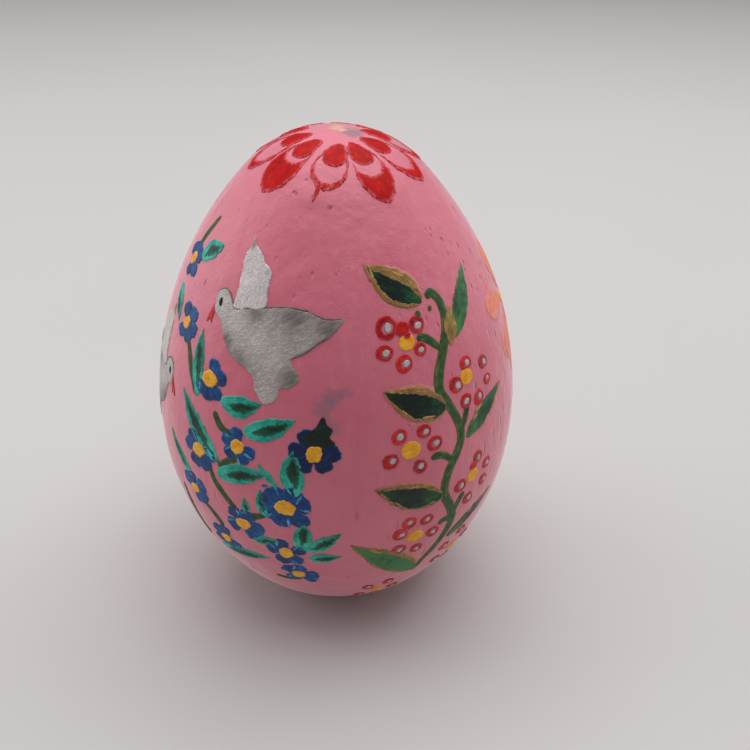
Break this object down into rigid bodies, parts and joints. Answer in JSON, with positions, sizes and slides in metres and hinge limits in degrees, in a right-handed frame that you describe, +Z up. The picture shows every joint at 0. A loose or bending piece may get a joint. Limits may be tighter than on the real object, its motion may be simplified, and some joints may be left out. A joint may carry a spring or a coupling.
{
  "type": "decorated wooden egg",
  "caption": "Turned wooden Easter egg standing on a flat foot, coated pink and brush-painted with doves, flowers and berry vines.",
  "frame": {"origin": "centre of the flat foot on the surface that the egg stands on", "axes": "+Z up through the pointed end; -Y towards the side with the flying silver dove and the berry vine; +X to that side's right"},
  "size_m": [0.0581, 0.0582, 0.08],
  "materials": {
    "bare_wood": "fine sanded turned hardwood, unvarnished",
    "pink_coat": "satin-matte pink acrylic ground, faint brush ridges and small dents",
    "red_paint": "satin red acrylic, brushed",
    "silver_paint": "metallic silver acrylic, brushed, slightly grainy",
    "pale_silver_paint": "metallic silver acrylic in thicker, paler strokes",
    "grey_paint": "thin dark grey outline paint",
    "black_paint": "glossy black paint dot",
    "teal_paint": "satin teal acrylic",
    "dark_green_paint": "satin dark green acrylic",
    "vine_green_paint": "satin leaf green acrylic with darker streaks",
    "blue_paint": "satin deep blue acrylic",
    "light_blue_paint": "satin light blue acrylic strokes",
    "yellow_paint": "satin warm yellow acrylic",
    "gold_paint": "metallic gold acrylic, thin and broken",
    "orange_paint": "satin salmon-orange acrylic"
  },
  "bodies": {
    "root": {"egg_body": "bare_wood", "ground_coat": "pink_coat", "crown_petals": "red_paint", "crown_drops": "red_paint", "dove_bodies": "silver_paint", "dove_wings": "pale_silver_paint", "dove_beaks": "red_paint", "dove_eyes": "black_paint", "dove_outlines": "grey_paint", "garland_stems": "dark_green_paint", "garland_leaves": "teal_paint", "leaf_hearts": "dark_green_paint", "dark_leaf": "dark_green_paint", "blue_petals": "blue_paint", "petal_lights": "light_blue_paint", "flower_centres": "yellow_paint", "vine_stem": "vine_green_paint", "vine_leaves": "vine_green_paint", "leaf_gilding": "gold_paint", "berry_rings": "red_paint", "berry_dots": "silver_paint", "berry_centres": "yellow_paint", "orange_blossom": "orange_paint", "blossom_eye": "yellow_paint"}
  },
  "joints": []
}
